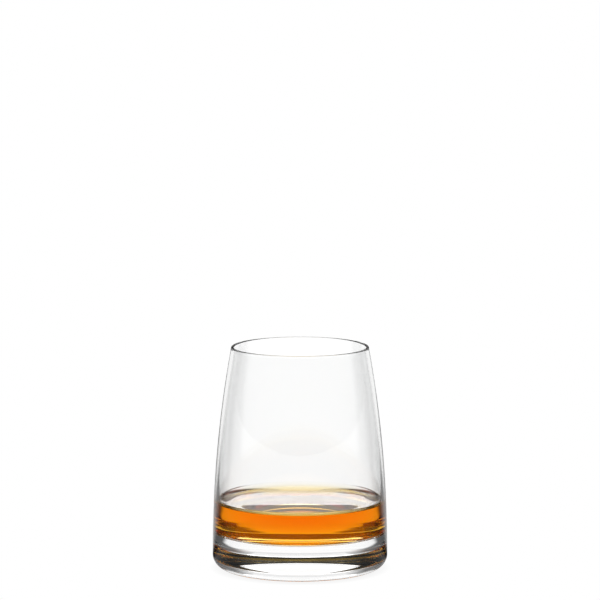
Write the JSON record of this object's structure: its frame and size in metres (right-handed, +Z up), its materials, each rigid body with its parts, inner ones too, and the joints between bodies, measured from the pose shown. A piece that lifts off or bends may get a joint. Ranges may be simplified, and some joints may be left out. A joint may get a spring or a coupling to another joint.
{
  "type": "whisky glass",
  "caption": "Barrel-tapered clear glass tumbler with a heavy round-heeled base, holding a measure of amber whisky.",
  "frame": {"origin": "centre of the foot ring, on the surface that the glass stands on", "axes": "+Z up along the glass's axis of revolution, towards the rim"},
  "size_m": [0.08, 0.08, 0.102],
  "materials": {
    "clear_glass": "fire-polished clear glass",
    "whisky": "clear amber liquid"
  },
  "bodies": {
    "root": {"glass_tumbler": "clear_glass", "whisky": "whisky"}
  },
  "joints": []
}
